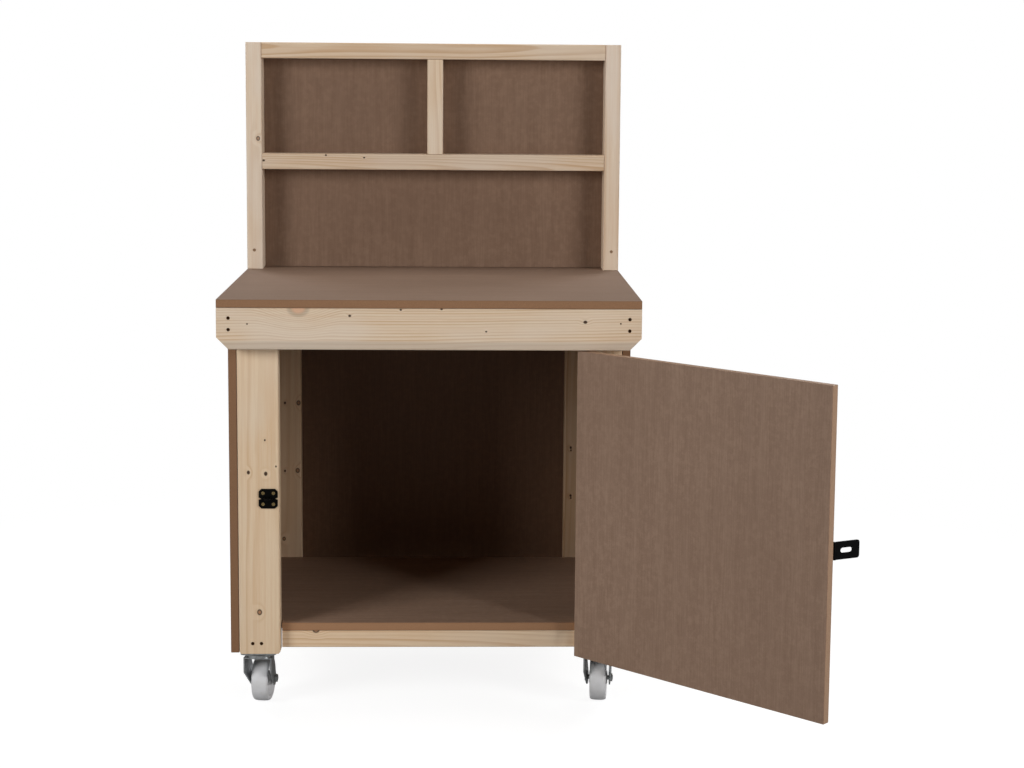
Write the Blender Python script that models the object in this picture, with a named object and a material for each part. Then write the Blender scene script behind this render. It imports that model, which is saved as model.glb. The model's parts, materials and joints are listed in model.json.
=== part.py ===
"""Potting bench: a timber and MDF cupboard bench on four swivel casters, with a shelved
back frame standing on the worktop and an inset door that has a hasp and staple.

The bench is built with its front face on Y = 0, its middle on X = 0 and the floor at
Z = 0.  One empty carries everything, and is moved at the end so that the whole assembly
stands centred on the origin.
"""
import math

import bmesh
import bpy
from mathutils import Vector

# ---------------------------------------------------------------- driving dimensions (m)
GAP = 0.0003                  # air kept between two pieces that touch

BENCH_WIDTH = 0.900
BENCH_DEPTH = 0.700
WORKTOP_TOP = 0.907
BOARD = 0.018                 # MDF thickness
TIMBER = 0.038                # thickness of every planed timber
TIMBER_NARROW = 0.063
TIMBER_WIDE = 0.089
ARRIS = 0.0025                # rounding of a timber's long edges
BOARD_ARRIS = 0.0006          # sanded edge of a board
RAIL_CORNER = 0.026           # 45 degree cut at the lower corners of the long rails
FOOT_CORNER = 0.0045          # cut at the lower corners of the legs

CASTER_HEIGHT = 0.126         # floor to the underside of the legs
PANEL_BOTTOM = 0.129          # underside of the side and back panels
LOWER_RAIL_BOTTOM = 0.1345
FRONT_RAIL_SETBACK = 0.058    # front of the lower rail and of the cupboard floor
LOWER_RAIL_SIDE_GAP = 0.002   # between the lower front rail and the legs

HUTCH_HEIGHT = 0.544          # back frame above the worktop
SHELF_TOP = 0.279             # above the worktop
DIVIDER_OFFSET = 0.0035       # the divider stands a little right of the middle

DOOR_WIDTH = 0.640
DOOR_BOTTOM = 0.128
DOOR_TOP_GAP = 0.002          # under the front rail
DOOR_OPEN_ANGLE = 136.0       # degrees, as the bench stands
HINGE_X = 0.3255              # hinge pin, in front of the right leg's inner edge
HINGE_Y = 0.0345
HINGE_HEIGHT = 0.075
HINGE_FROM_EDGE = 0.085       # hinge middle to the door's top or bottom edge
HINGE_LEAF_WIDTH = 0.034      # pin to the far edge of a leaf
HINGE_KNUCKLES = 5
HINGE_SCREWS = ((0.0143, 0.0150), (0.0245, 0.0270))   # from the pin, from mid height

PLATE = 0.002                 # sheet thickness of hinges, hasp and staple plate
BARREL_RADIUS = 0.0032
PIN_RADIUS = 0.0016
PIN_CLEARANCE = 0.00008
KNUCKLE_SLIT = 0.0003
KNUCKLE_WALL = 0.0004         # least steel left between a pin and the start of its leaf
LEAF_CLEARANCE = 0.0006       # between a leaf and the knuckles of the other leaf
SCREW_HOLE = 0.0022           # radius, in the steel plates
OVERRUN = 0.001               # how far a cutting or joining tool passes the part


HASP_Z = 0.471
HASP_HEIGHT = 0.036
HASP_PIN_INSET = 0.0005       # hasp pin, inside the door's free edge
HASP_PLATE_LENGTH = 0.068
HASP_SCREW_X = (0.0184, 0.0544)   # from the hasp pin
HASP_SCREW_Z = 0.0097
STRAP_LENGTH = 0.058
STRAP_SWING = 67.0            # degrees the strap stands off the door's plane
STRAP_CORNER = 0.005
STRAP_STAND = 0.0007          # between the strap and the fixed plate behind it
SLOT_START = 0.014            # from the hasp pin
SLOT_LENGTH = 0.027
SLOT_HEIGHT = 0.010

STAPLE_WIDTH = 0.041
STAPLE_HEIGHT = 0.043
STAPLE_CORNER = 0.006
STAPLE_NOTCH = 0.006
STAPLE_NOTCH_MOUTH = 0.0025   # half the height of a notch at the plate's edge
STAPLE_SCREW_X = 0.0112
STAPLE_SCREW_Z = 0.0120
STAPLE_FROM_PIN = 0.027       # loop middle to the hasp pin, door closed
LOOP_SPAN = 0.014             # between the middles of the loop's two feet
LOOP_ROD_RADIUS = 0.0025
LOOP_REACH = 0.0125           # rod middle at the top of the loop, from the leg's face

SINK_SIDES = 10               # screw seats sunk into the timbers
SINK_MOUTH = 0.0042           # radius at the timber's face
SINK_FLOOR = 0.0037
SINK_DEPTH = 0.0012
RAIL_SCREW_X = 0.4242
RAIL_SCREW_Z = (0.8672, 0.8425)
FOOT_SCREW_X = (0.3827, 0.3638)
FOOT_SCREW_Z = 0.1492
UPRIGHT_SCREW_X = 0.4325
UPRIGHT_SCREW_Z = 0.9525

WHEEL_RADIUS = 0.050
WHEEL_SIDES = 24
TREAD_WIDTH = 0.036
HUB_WIDTH = 0.040
HUB_RADIUS = 0.0150
WEB_RADII = (0.0170, 0.0370)  # where the thin web starts and ends
WEB_HALF = 0.0050
RIM_RADIUS = 0.0405
SHOULDER = ((0.0465, 0.0), (0.0490, 0.0015), (0.0500, 0.0060))   # tread edge: radius, drawn in by
AXLE_RADIUS = 0.005
AXLE_PLAY = 0.00008
HEXAGON_RADIUS = 0.0092       # across the corners of the axle bolt's head and nut
BOLT_HEAD = 0.003
NUT_LENGTH = 0.004
BOLT_END = 0.0010             # thread past the nut
CASTER_TRAIL = 0.038          # kingpin to axle
CASTER_SWIVEL = -6.5          # degrees, all four casters
CASTER_OUTSET = 0.004         # kingpin, outward of the leg's middle
PLATE_WIDTH = 0.078
PLATE_DEPTH = 0.068
PLATE_THICKNESS = 0.003
PLATE_CORNER = 0.008
PLATE_FRONT = 0.001           # plate edge behind the leg's outer face
HEAD_RADIUS = 0.0235          # swivel head pressed down from the plate
HEAD_FOOT_RADIUS = 0.020
HEAD_BOTTOM = 0.1155
HEAD_SHOULDER = 0.1190
FORK_WIDTH = 0.062            # at the leading edge
FORK_TAPER = 0.0048           # each cheek, drawn in from the leading edge to the axle
FORK_SHEET = 0.003
FORK_LEAD = 0.024             # leading edge, in front of the kingpin
FORK_BREAK = 0.080            # height where the leading edge turns back to the axle
FORK_TAIL = 0.026             # back of the crown
FORK_TAIL_HEIGHT = 0.097
FORK_BOSS = 0.016             # radius round the axle
FORK_BOSS_ARC = (228, 385)    # degrees
CROWN_TOP = 0.1135
DISH_RADII = (0.0265, 0.0295)
DISH_TOP = 0.1195
KINGPIN_RADIUS = 0.005
KINGPIN_HEAD = ((0.0065, 0.1058), (0.0085, 0.1072), (0.0085, 0.1102))   # radius, height

# ---------------------------------------------------------------- derived positions (m)
HALF_WIDTH = BENCH_WIDTH / 2
FRAME_TOP = WORKTOP_TOP - BOARD
RAIL_BOTTOM = FRAME_TOP - TIMBER_WIDE
LEG_OUTER = HALF_WIDTH - TIMBER
LEG_INNER = LEG_OUTER - TIMBER_WIDE
FRONT_LEG_FACE = TIMBER
REAR_LEG_FACE = BENCH_DEPTH - 2 * TIMBER
FLOOR_UNDERSIDE = LOWER_RAIL_BOTTOM + TIMBER
FLOOR_TOP = FLOOR_UNDERSIDE + BOARD
DOOR_TOP = RAIL_BOTTOM - DOOR_TOP_GAP
DOOR_EDGE = -HALF_WIDTH + TIMBER + TIMBER_WIDE + 0.003
HASP_X = DOOR_EDGE + HASP_PIN_INSET
HASP_PIN_STAND = 0.0035       # hasp pin, in front of the door's outer face
HUTCH_FRONT = BENCH_DEPTH - BOARD - TIMBER_NARROW
HUTCH_BACK = BENCH_DEPTH - BOARD
KINGPIN_INSET = PLATE_FRONT + PLATE_DEPTH / 2
# The bore's flats clear the corners of the twelve-sided pin at every swivel angle.
KINGPIN_BORE = KINGPIN_RADIUS / math.cos(math.pi / 12) ** 2 + AXLE_PLAY


# ---------------------------------------------------------------- materials
def material(name, colour, roughness, metallic=0.0):
    made = bpy.data.materials.new(name)
    made.use_nodes = True
    shader = made.node_tree.nodes["Principled BSDF"]
    shader.inputs["Base Color"].default_value = (*colour, 1.0)
    shader.inputs["Roughness"].default_value = roughness
    shader.inputs["Metallic"].default_value = metallic
    return made


# ---------------------------------------------------------------- mesh helpers
def empty(name, parent=None, location=(0, 0, 0), turn=0.0):
    made = bpy.data.objects.new(name, None)
    made.empty_display_size = 0.05
    made.location = location
    made.rotation_euler = (0, 0, math.radians(turn))
    made.parent = parent
    bpy.context.collection.objects.link(made)
    return made


def finish(name, bm, finish_material, parent, location=(0, 0, 0), smooth=None):
    """Turn a bmesh into a linked object; smooth is the angle above which edges stay sharp."""
    bmesh.ops.recalc_face_normals(bm, faces=bm.faces)
    mesh = bpy.data.meshes.new(name)
    bm.to_mesh(mesh)
    bm.free()
    if finish_material:
        mesh.materials.append(finish_material)
    if smooth:
        mesh.shade_smooth()
        mesh.set_sharp_from_angle(angle=math.radians(smooth))
    made = bpy.data.objects.new(name, mesh)
    made.parent = parent
    made.location = location
    bpy.context.collection.objects.link(made)
    return made


def arc(centre, radius, start, stop, steps):
    """Points on an arc, angles in degrees."""
    points = []
    for step in range(steps + 1):
        angle = math.radians(start + (stop - start) * step / steps)
        points.append((centre[0] + radius * math.cos(angle), centre[1] + radius * math.sin(angle)))
    return points


def rounded_rectangle(u_span, v_span, radius, steps=2):
    outline = []
    corners = [(1, 1, 0), (0, 1, 90), (0, 0, 180), (1, 0, 270)]
    for right, upper, start in corners:
        centre_u = u_span[right] - radius if right else u_span[right] + radius
        centre_v = v_span[upper] - radius if upper else v_span[upper] + radius
        outline += arc((centre_u, centre_v), radius, start, start + 90, steps)
    return outline


def add_prism(bm, outline, axis, span):
    """Extrude a 2-D outline along an axis.  The outline lies in YZ, XZ or XY."""
    places = {"X": lambda u, v, w: (w, u, v), "Y": lambda u, v, w: (u, w, v), "Z": lambda u, v, w: (u, v, w)}
    place = places[axis]
    base = [bm.verts.new(place(u, v, span[0])) for u, v in outline]
    face = bm.faces.new(base)
    grown = bmesh.ops.extrude_face_region(bm, geom=[face])
    moved = [item for item in grown["geom"] if isinstance(item, bmesh.types.BMVert)]
    bmesh.ops.translate(bm, verts=moved, vec=Vector(place(0, 0, span[1] - span[0])))


def prism(outline, axis, span):
    bm = bmesh.new()
    add_prism(bm, outline, axis, span)
    bmesh.ops.recalc_face_normals(bm, faces=bm.faces)
    return bm


def rectangle(u_span, v_span):
    return [(u_span[0], v_span[0]), (u_span[1], v_span[0]), (u_span[1], v_span[1]), (u_span[0], v_span[1])]


def add_cylinder(bm, centre, axis, radius, span, sides):
    """A round bar along an axis; centre is given in the plane that the axis leaves free."""
    outline = arc(centre, radius, 180 / sides, 180 / sides + 360, sides)[:-1]
    add_prism(bm, outline, axis, span)


def turned(profile, sides, axis):
    """Spin a profile of (radius, length) points once round the axis, flats facing down."""
    stretch = 1 / math.cos(math.pi / sides)
    start = math.pi / sides - math.pi / 2
    bm = bmesh.new()
    ring = []
    for radius, length in profile:
        across = radius * stretch * math.cos(start)
        up = radius * stretch * math.sin(start)
        ring.append(bm.verts.new((length, across, up) if axis == "X" else (across, up, length)))
    for first, second in zip(ring, ring[1:]):
        bm.edges.new((first, second))
    if profile[0][0] > 0:
        bm.edges.new((ring[-1], ring[0]))
    direction = (1, 0, 0) if axis == "X" else (0, 0, 1)
    bmesh.ops.spin(bm, geom=bm.verts[:] + bm.edges[:], cent=(0, 0, 0), axis=direction,
                   angle=2 * math.pi, steps=sides, use_merge=True)
    bmesh.ops.remove_doubles(bm, verts=bm.verts, dist=0.000001)
    return bm


def combine(target, tool_mesh, operation):
    """Join or cut the target with a tool mesh given in the target's own coordinates."""
    tool = finish(target.name + "_" + operation.lower(), tool_mesh, None, target)
    tool.hide_render = True
    tool.display_type = "WIRE"
    modifier = target.modifiers.new(operation.title(), "BOOLEAN")
    modifier.operation = operation
    modifier.solver = "EXACT"
    modifier.object = tool


def inset(span):
    """Pull a nominal span in by half the gap at both ends."""
    return (span[0] + GAP / 2, span[1] - GAP / 2)


def centred(span):
    half = (span[1] - span[0]) / 2
    return (-half, half)


def middle(span):
    return (span[0] + span[1]) / 2


def timber(name, x_span, y_span, z_span, grain, finish_material, parent):
    """A planed timber with rounded long edges and sawn ends, running along its grain axis."""
    spans = {"X": centred(inset(x_span)), "Y": centred(inset(y_span)), "Z": centred(inset(z_span))}
    across = [spans[axis] for axis in "XYZ" if axis != grain]
    bm = prism(rounded_rectangle(across[0], across[1], ARRIS), grain, spans[grain])
    location = (middle(x_span), middle(y_span), middle(z_span))
    return finish(name, bm, finish_material, parent, location, smooth=50)


def board(name, x_span, y_span, z_span, finish_material, parent):
    """A flat board with its edges sanded."""
    x_span, y_span, z_span = inset(x_span), inset(y_span), inset(z_span)
    bm = prism(rectangle(centred(x_span), centred(y_span)), "Z", centred(z_span))
    bmesh.ops.bevel(bm, geom=bm.edges[:], offset=BOARD_ARRIS, segments=1, affect="EDGES")
    location = (middle(x_span), middle(y_span), middle(z_span))
    return finish(name, bm, finish_material, parent, location)


def clip_lower_corners(piece, half_length, half_height, cut):
    """Saw both lower corners of a piece off at 45 degrees, in the XZ plane."""
    bm = bmesh.new()
    bm.from_mesh(piece.data)
    for side in (-1, 1):
        bmesh.ops.bisect_plane(bm, geom=bm.verts[:] + bm.edges[:] + bm.faces[:],
                               plane_co=(side * (half_length - cut), 0, -half_height),
                               plane_no=(side, 0, -1), clear_outer=True)
        bmesh.ops.holes_fill(bm, edges=[edge for edge in bm.edges if edge.is_boundary])
    bmesh.ops.recalc_face_normals(bm, faces=bm.faces)
    bm.to_mesh(piece.data)
    bm.free()


def sink_screws(piece, places, side):
    """Sink screw seats into a timber's front (-1) or rear (+1) face, at (x, z) places on the bench."""
    face = side * max(vertex.co.y for vertex in piece.data.vertices)
    seats = bmesh.new()
    for x, z in places:
        rings = []
        for radius, depth in ((SINK_MOUTH, -GAP), (SINK_FLOOR, SINK_DEPTH)):
            centre = (x - piece.location.x, z - piece.location.z)
            ring = arc(centre, radius, 0, 360, SINK_SIDES)[:-1]
            rings.append([seats.verts.new((u, face - side * depth, v)) for u, v in ring])
        for step in range(SINK_SIDES):
            after = (step + 1) % SINK_SIDES
            seats.faces.new((rings[0][step], rings[0][after], rings[1][after], rings[1][step]))
        for ring in rings:
            seats.faces.new(ring)
    combine(piece, seats, "DIFFERENCE")


# ---------------------------------------------------------------- bench frame
def build_upper_frame(bench, pine, mdf):
    rail_z = (RAIL_BOTTOM, FRAME_TOP)
    long_rails = (("front_rail", (0, TIMBER)), ("rear_rail", (BENCH_DEPTH - TIMBER, BENCH_DEPTH)))
    for name, y_span in long_rails:
        rail = timber(name, (-HALF_WIDTH, HALF_WIDTH), y_span, rail_z, "X", pine, bench)
        clip_lower_corners(rail, HALF_WIDTH, TIMBER_WIDE / 2, RAIL_CORNER)
        places = [(side * RAIL_SCREW_X, z) for side in (-1, 1) for z in RAIL_SCREW_Z]
        sink_screws(rail, places, -1 if name == "front_rail" else 1)
    for side, name in ((-1, "left_side_rail"), (1, "right_side_rail")):
        x_span = sorted((side * LEG_OUTER, side * HALF_WIDTH))
        y_span = (TIMBER, BENCH_DEPTH - TIMBER)
        timber(name, x_span, y_span, (FRAME_TOP - TIMBER_NARROW, FRAME_TOP), "Y", pine, bench)
    board("worktop_board", (-HALF_WIDTH, HALF_WIDTH), (0, BENCH_DEPTH), (FRAME_TOP, WORKTOP_TOP), mdf, bench)


def build_legs(bench, pine):
    for side, side_name in ((-1, "left"), (1, "right")):
        x_span = sorted((side * LEG_INNER, side * LEG_OUTER))
        for end, face in (("front", FRONT_LEG_FACE), ("rear", REAR_LEG_FACE)):
            z_span = (CASTER_HEIGHT, FRAME_TOP)
            leg = timber(f"{end}_{side_name}_leg", x_span, (face, face + TIMBER), z_span, "Z", pine, bench)
            clip_lower_corners(leg, TIMBER_WIDE / 2, (FRAME_TOP - CASTER_HEIGHT) / 2, FOOT_CORNER)
            if end == "front":
                sink_screws(leg, [(side * x, FOOT_SCREW_Z) for x in FOOT_SCREW_X], -1)


def build_lower_frame(bench, pine):
    z_span = (LOWER_RAIL_BOTTOM, FLOOR_UNDERSIDE)
    reach = LEG_INNER - LOWER_RAIL_SIDE_GAP
    front = (FRONT_RAIL_SETBACK, FRONT_RAIL_SETBACK + TIMBER)
    timber("lower_front_rail", (-reach, reach), front, z_span, "X", pine, bench)
    inner = LEG_OUTER - TIMBER_NARROW
    rear = (REAR_LEG_FACE - TIMBER, REAR_LEG_FACE)
    timber("lower_rear_rail", (-inner, inner), rear, z_span, "X", pine, bench)
    for side, name in ((-1, "lower_left_rail"), (1, "lower_right_rail")):
        x_span = sorted((side * inner, side * LEG_OUTER))
        timber(name, x_span, (FRONT_LEG_FACE + TIMBER, REAR_LEG_FACE), z_span, "Y", pine, bench)


def build_cupboard(bench, mdf):
    side_z = (PANEL_BOTTOM, FRAME_TOP - TIMBER_NARROW)
    back = BENCH_DEPTH - TIMBER
    for side, name in ((-1, "left_side_panel"), (1, "right_side_panel")):
        x_span = sorted((side * LEG_OUTER, side * (LEG_OUTER + BOARD)))
        board(name, x_span, (FRONT_LEG_FACE, back), side_z, mdf, bench)
    x_span = (-LEG_OUTER - BOARD, LEG_OUTER + BOARD)
    board("cupboard_back_panel", x_span, (back, back + BOARD), (PANEL_BOTTOM, RAIL_BOTTOM), mdf, bench)
    # The floor fills the carcass behind the front legs and reaches forward between them.
    wide = LEG_OUTER - GAP / 2
    narrow = LEG_INNER - LOWER_RAIL_SIDE_GAP
    shoulder = FRONT_LEG_FACE + TIMBER + GAP / 2
    rear = REAR_LEG_FACE - GAP / 2
    outline = [(-wide, rear), (-wide, shoulder), (-narrow, shoulder), (-narrow, FRONT_RAIL_SETBACK),
               (narrow, FRONT_RAIL_SETBACK), (narrow, shoulder), (wide, shoulder), (wide, rear)]
    finish("cupboard_floor", prism(outline, "Z", inset((FLOOR_UNDERSIDE, FLOOR_TOP))), mdf, bench)


def build_hutch(bench, pine, mdf):
    y_span = (HUTCH_FRONT, HUTCH_BACK)
    top = WORKTOP_TOP + HUTCH_HEIGHT
    shelf = WORKTOP_TOP + SHELF_TOP
    inner = HALF_WIDTH - TIMBER
    for side, name in ((-1, "left_upright"), (1, "right_upright")):
        x_span = sorted((side * inner, side * HALF_WIDTH))
        upright = timber(name, x_span, y_span, (WORKTOP_TOP, top), "Z", pine, bench)
        sink_screws(upright, [(side * UPRIGHT_SCREW_X, UPRIGHT_SCREW_Z)], -1)
    timber("top_rail", (-inner, inner), y_span, (top - TIMBER, top), "X", pine, bench)
    timber("shelf_rail", (-inner, inner), y_span, (shelf - TIMBER, shelf), "X", pine, bench)
    post = (DIVIDER_OFFSET - TIMBER / 2, DIVIDER_OFFSET + TIMBER / 2)
    timber("shelf_divider", post, y_span, (shelf, top - TIMBER), "Z", pine, bench)
    x_span = (-HALF_WIDTH, HALF_WIDTH)
    board("hutch_back_panel", x_span, (HUTCH_BACK, BENCH_DEPTH), (WORKTOP_TOP, top), mdf, bench)


# ---------------------------------------------------------------- hinges, hasp and staple
def knuckle_spans(height, count):
    """Equal knuckles along a barrel, with a slit between neighbours."""
    step = height / count
    slit = KNUCKLE_SLIT / 2
    starts = [index * step - height / 2 for index in range(count)]
    return [(start + slit, start + step - slit) for start in starts]


def add_knuckles(plate, spans, tab_y, side, sides=12):
    """Roll knuckles onto a plate that lies on the given side of the pin, and bore them."""
    knuckles = bmesh.new()
    for span in spans:
        add_cylinder(knuckles, (0, 0), "Z", BARREL_RADIUS, span, sides)
    combine(plate, knuckles, "UNION")
    tabs = bmesh.new()
    x_span = sorted((side * (PIN_RADIUS + KNUCKLE_WALL), side * (BARREL_RADIUS + OVERRUN)))
    for span in spans:
        add_prism(tabs, rectangle(x_span, tab_y), "Z", span)
    combine(plate, tabs, "UNION")
    bore = bmesh.new()
    add_cylinder(bore, (0, 0), "Z", PIN_RADIUS + PIN_CLEARANCE, (-0.1, 0.1), sides)
    combine(plate, bore, "DIFFERENCE")


def cut_screw_holes(plate, places, y_span):
    """Through holes along Y at (x, z) places."""
    holes = bmesh.new()
    for place in places:
        add_cylinder(holes, place, "Y", SCREW_HOLE, (y_span[0] - OVERRUN, y_span[1] + OVERRUN), 8)
    combine(plate, holes, "DIFFERENCE")


def hinge_leaf(name, side, knuckles, parent, location, steel):
    """One leaf, its mesh built round the pin axis; side is +1 for the leg and -1 for the door."""
    y_span = (BARREL_RADIUS - PLATE, BARREL_RADIUS)
    start = BARREL_RADIUS + LEAF_CLEARANCE
    x_span = sorted((side * start, side * HINGE_LEAF_WIDTH))
    outline = rectangle(x_span, (-HINGE_HEIGHT / 2, HINGE_HEIGHT / 2))
    leaf = finish(name, prism(outline, "Y", y_span), steel, parent, location, smooth=30)
    add_knuckles(leaf, knuckles, y_span, side)
    holes = []
    for row in (-1, 1):
        for across, along in HINGE_SCREWS:
            holes.append((side * across, row * along))
    cut_screw_holes(leaf, holes, y_span)
    return leaf


def build_hinges(bench, door_axis, steel):
    heights = (("lower", DOOR_BOTTOM + HINGE_FROM_EDGE), ("upper", DOOR_TOP - HINGE_FROM_EDGE))
    spans = knuckle_spans(HINGE_HEIGHT, HINGE_KNUCKLES)
    for place, z in heights:
        hinge_leaf(f"{place}_hinge_leg_leaf", 1, spans[0::2], bench, (HINGE_X, HINGE_Y, z), steel)
        hinge_leaf(f"{place}_hinge_door_leaf", -1, spans[1::2], door_axis, (0, 0, z), steel)
        pin = bmesh.new()
        half = HINGE_HEIGHT / 2
        add_cylinder(pin, (0, 0), "Z", PIN_RADIUS, (-half, half), 16)
        finish(f"{place}_hinge_pin", pin, steel, bench, (HINGE_X, HINGE_Y, z), smooth=40)


def build_door(door_axis, mdf):
    """The door, drawn closed in the frame of its hinge axis, which stands open."""
    x_span = (DOOR_EDGE - HINGE_X, DOOR_EDGE - HINGE_X + DOOR_WIDTH)
    y_span = (FRONT_LEG_FACE - HINGE_Y, FRONT_LEG_FACE - HINGE_Y + BOARD)
    bm = prism(rectangle(x_span, y_span), "Z", (DOOR_BOTTOM, DOOR_TOP))
    bmesh.ops.bevel(bm, geom=bm.edges[:], offset=BOARD_ARRIS, segments=1, affect="EDGES")
    finish("door_panel", bm, mdf, door_axis)


def round_ended(start, length, height, corner):
    """Outline of a plate that runs to the right from its pin, with its two far corners rounded."""
    edge = height / 2
    outline = [(start, -edge)]
    outline += arc((length - corner, corner - edge), corner, 270, 360, 3)
    outline += arc((length - corner, edge - corner), corner, 0, 90, 3)
    return outline + [(start, edge)]


def build_hasp(door_axis, steel):
    """Fixed plate and pin on the door, and the slotted strap on its own axis."""
    pin_x = HASP_X - HINGE_X
    pin_y = FRONT_LEG_FACE - HINGE_Y - HASP_PIN_STAND
    place = (pin_x, pin_y, HASP_Z)
    thirds = knuckle_spans(HASP_HEIGHT, 3)
    start = BARREL_RADIUS + LEAF_CLEARANCE

    plate_y = (HASP_PIN_STAND - GAP - PLATE, HASP_PIN_STAND - GAP)
    outline = round_ended(start, HASP_PLATE_LENGTH, HASP_HEIGHT, STRAP_CORNER)
    fixed = finish("hasp_fixed_plate", prism(outline, "Y", plate_y), steel, door_axis, place, smooth=30)
    add_knuckles(fixed, thirds[0::2], plate_y, 1)
    holes = [(x, row * HASP_SCREW_Z) for x in HASP_SCREW_X for row in (-1, 1)]
    cut_screw_holes(fixed, holes, plate_y)

    pin = bmesh.new()
    add_cylinder(pin, (0, 0), "Z", PIN_RADIUS, (-HASP_HEIGHT / 2, HASP_HEIGHT / 2), 16)
    finish("hasp_pin", pin, steel, door_axis, place, smooth=40)

    strap_axis = empty("strap_axis", door_axis, place, STRAP_SWING)
    strap_back = HASP_PIN_STAND - PLATE - STRAP_STAND
    strap_y = (strap_back - PLATE, strap_back)
    outline = [(-x, -z) for x, z in round_ended(start, STRAP_LENGTH, HASP_HEIGHT, STRAP_CORNER)]
    strap = finish("hasp_strap", prism(outline, "Y", strap_y), steel, strap_axis, smooth=30)
    add_knuckles(strap, thirds[1:2], strap_y, -1)
    slot = bmesh.new()
    radius = SLOT_HEIGHT / 2
    near = -SLOT_START - radius
    far = -SLOT_START - SLOT_LENGTH + radius
    slot_outline = arc((near, 0), radius, -90, 90, 6) + arc((far, 0), radius, 90, 270, 6)
    add_prism(slot, slot_outline, "Y", (strap_y[0] - OVERRUN, strap_y[1] + OVERRUN))
    combine(strap, slot, "DIFFERENCE")


def build_staple(bench, steel):
    """Notched plate on the left leg, and the loop whose feet pass through it."""
    loop_x = HASP_X - STAPLE_FROM_PIN
    plate_y = (-GAP - PLATE, -GAP)
    half_w, half_h = STAPLE_WIDTH / 2, STAPLE_HEIGHT / 2
    quarter = [(half_w - STAPLE_NOTCH, 0), (half_w, STAPLE_NOTCH_MOUTH), (half_w, half_h - STAPLE_CORNER),
               (half_w - STAPLE_CORNER, half_h)]
    upper = quarter + [(-x, z) for x, z in reversed(quarter)]
    lower = [(x, -z) for x, z in reversed(upper[1:-1])]
    place = (loop_x, FRONT_LEG_FACE, HASP_Z)
    plate = finish("staple_plate", prism(upper + lower, "Y", plate_y), steel, bench, place, smooth=30)
    places = [(x * STAPLE_SCREW_X, z * STAPLE_SCREW_Z) for x in (-1, 1) for z in (-1, 1)]
    cut_screw_holes(plate, places, plate_y)
    feet = bmesh.new()
    for side in (-1, 1):
        add_cylinder(feet, (side * LOOP_SPAN / 2, 0), "Y", LOOP_ROD_RADIUS + GAP, (-0.01, 0.01), 12)
    combine(plate, feet, "DIFFERENCE")

    bend = LOOP_SPAN / 2
    path = [(-bend, -GAP)]
    path += [(x, -y) for x, y in arc((0, LOOP_REACH - bend), bend, 180, 0, 8)]
    path += [(bend, -GAP)]
    curve = bpy.data.curves.new("staple_loop", "CURVE")
    curve.dimensions = "3D"
    curve.bevel_depth = LOOP_ROD_RADIUS
    curve.bevel_resolution = 2
    curve.use_fill_caps = True
    spline = curve.splines.new("POLY")
    spline.points.add(len(path) - 1)
    for point, (x, y) in zip(spline.points, path):
        point.co = (x, y, 0, 1)
    curve.materials.append(steel)
    loop = bpy.data.objects.new("staple_loop", curve)
    loop.parent = bench
    loop.location = place
    bpy.context.collection.objects.link(loop)


# ---------------------------------------------------------------- casters
def caster_plate(name, parent, zinc):
    """Top plate with the upper half of the swivel head pressed down from its middle."""
    top = CASTER_HEIGHT - GAP
    outline = rounded_rectangle(centred((0, PLATE_WIDTH)), centred((0, PLATE_DEPTH)), PLATE_CORNER, 2)
    plate = finish(name, prism(outline, "Z", (top - PLATE_THICKNESS, top)), zinc, parent, smooth=30)
    inside = top - PLATE_THICKNESS / 2
    profile = [(0.0, HEAD_BOTTOM), (HEAD_FOOT_RADIUS, HEAD_BOTTOM), (HEAD_RADIUS, HEAD_SHOULDER),
               (HEAD_RADIUS, inside), (0.0, inside)]
    combine(plate, turned(profile, 20, "Z"), "UNION")
    bore = bmesh.new()
    add_cylinder(bore, (0, 0), "Z", KINGPIN_BORE, (HEAD_BOTTOM - OVERRUN, inside + GAP), 12)
    combine(plate, bore, "DIFFERENCE")


def caster_kingpin(name, parent, zinc):
    top = CASTER_HEIGHT - PLATE_THICKNESS
    profile = [(0.0, KINGPIN_HEAD[0][1]), *KINGPIN_HEAD, (KINGPIN_RADIUS, KINGPIN_HEAD[-1][1]),
               (KINGPIN_RADIUS, top), (0.0, top)]
    finish(name, turned(profile, 12, "Z"), zinc, parent, smooth=40)


def cheek_inset(y):
    """How far a cheek is drawn in at a distance behind the kingpin."""
    return FORK_TAPER * (y + FORK_LEAD) / (CASTER_TRAIL + FORK_LEAD)


def draw_in(bm):
    """Taper a prism that spans the fork, so that it narrows towards the axle."""
    for vertex in bm.verts:
        vertex.co.x -= math.copysign(1, vertex.co.x) * cheek_inset(vertex.co.y)
    return bm


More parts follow.
